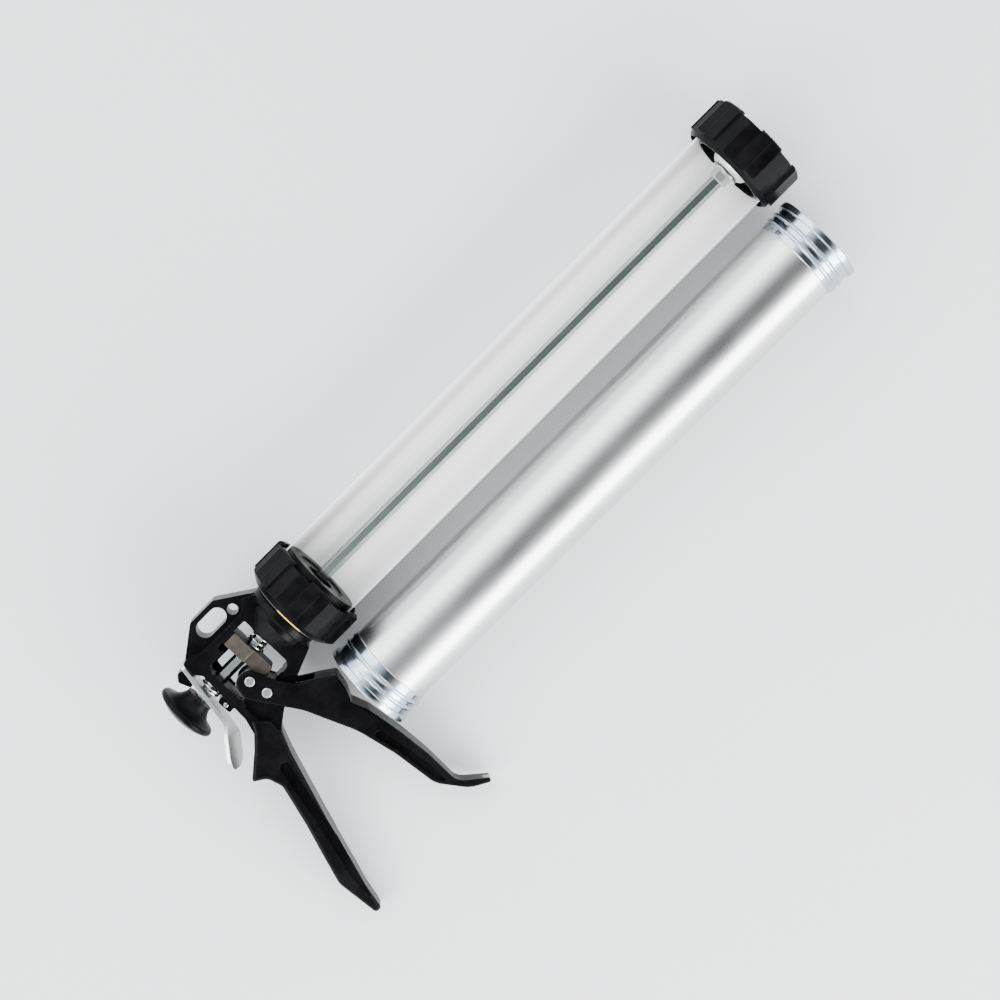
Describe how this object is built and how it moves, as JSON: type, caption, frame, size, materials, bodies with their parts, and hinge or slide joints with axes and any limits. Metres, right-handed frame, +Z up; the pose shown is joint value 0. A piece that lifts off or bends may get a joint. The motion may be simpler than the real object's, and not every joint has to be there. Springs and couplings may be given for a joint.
{
  "type": "caulking gun",
  "caption": "Hand-operated caulking gun with a half-round cartridge cradle, and a spare closed barrel for foil packs beside it.",
  "frame": {"origin": "middle of the whole outline on the surface it lies on", "axes": "+X forward along the barrels, +Y from the handle towards the gun's barrel, +Z up; the gun lies on its side with the cradle open upwards"},
  "size_m": [0.4828, 0.2006, 0.065],
  "materials": {
    "casting_black": "gloss black enamel on die-cast aluminium",
    "trigger_black": "gloss black enamel on die-cast aluminium",
    "nut_black": "gloss black moulded plastic",
    "knob_black": "gloss black moulded plastic",
    "washer_yellow": "satin yellow plastic",
    "zinc_plate": "satin zinc-plated steel",
    "rod_steel": "satin plated hexagon steel bar",
    "block_bronze": "sintered steel, bronze tint",
    "spring_steel": "plated spring wire",
    "cradle_silver": "satin silver, pale",
    "end_ring_black": "gloss black moulded plastic",
    "piston_black": "gloss black moulded plastic",
    "barrel_aluminium": "satin anodised aluminium",
    "ring_zinc": "bright zinc-plated steel"
  },
  "bodies": {
    "frame": {"frame_casting": "casting_black", "pivot_rivet": "zinc_plate", "swivel_washer": "washer_yellow", "catch_block": "casting_black", "catch_pin": "spring_steel", "drive_spring": "spring_steel", "release_spring": "spring_steel"},
    "trigger": {"trigger": "trigger_black", "pusher_rivet": "zinc_plate", "pusher_roller": "block_bronze"},
    "drive_block": {"drive_block": "block_bronze"},
    "rod": {"push_rod": "rod_steel", "pull_knob": "knob_black", "piston_lock_nut": "zinc_plate", "piston_washer": "zinc_plate", "piston_dome": "zinc_plate", "piston_cup": "piston_black", "piston_front_nut": "zinc_plate"},
    "release_lever": {"release_lever": "zinc_plate"},
    "rear_collar": {"rear_collar": "nut_black"},
    "cradle": {"cradle_trough": "cradle_silver", "barrel_rear_ring": "end_ring_black", "barrel_front_ring": "ring_zinc", "front_plate": "ring_zinc"},
    "front_ring_nut": {"front_ring_nut": "nut_black"},
    "spare_barrel": {"spare_tube": "barrel_aluminium", "spare_rear_ring": "ring_zinc", "spare_front_ring": "ring_zinc"}
  },
  "joints": [
    {"name": "trigger_pull", "type": "hinge", "parent": "frame", "child": "trigger", "pos_m": [-0.1873, 0.03998, 0.02885], "axis": [0, -0.1513, 0.9885], "range_deg": [-30, 0], "stiffness_Nm_per_rad": 0.3, "springref_deg": 22.92},
    {"name": "drive_block_slide", "type": "slide", "parent": "frame", "child": "drive_block", "axis": [1, 0, 0], "range_m": [0, 0.0066], "deforming": ["drive_spring"]},
    {"name": "rod_slide", "type": "slide", "parent": "frame", "child": "rod", "axis": [1, 0, 0], "range_m": [-0.328, 0]},
    {"name": "release_lever_press", "type": "hinge", "parent": "frame", "child": "release_lever", "pos_m": [-0.2116, 0.08199, 0.03528], "axis": [0, -0.1513, 0.9885], "range_deg": [0, 5], "stiffness_Nm_per_rad": 0.6, "springref_deg": -17.19, "deforming": ["release_spring"]},
    {"name": "collar_turn", "type": "hinge", "parent": "frame", "child": "rear_collar", "pos_m": [-0.132, 0.0638, 0.0325], "axis": [1, 0, 0], "continuous": true},
    {"name": "cradle_swivel", "type": "hinge", "parent": "frame", "child": "cradle", "pos_m": [-0.136, 0.0638, 0.0325], "axis": [1, 0, 0], "continuous": true},
    {"name": "front_nut_turn", "type": "hinge", "parent": "cradle", "child": "front_ring_nut", "pos_m": [0.227, 0.0638, 0.0325], "axis": [1, 0, 0], "continuous": true},
    {"name": "spare_barrel_lift", "type": "slide", "parent": "frame", "child": "spare_barrel", "axis": [0, 0, 1], "range_m": [0, 0.15]}
  ],
  "couplings": [
    {"joint": "drive_block_slide", "follows": "trigger_pull", "m_per_rad": -0.01185}
  ]
}
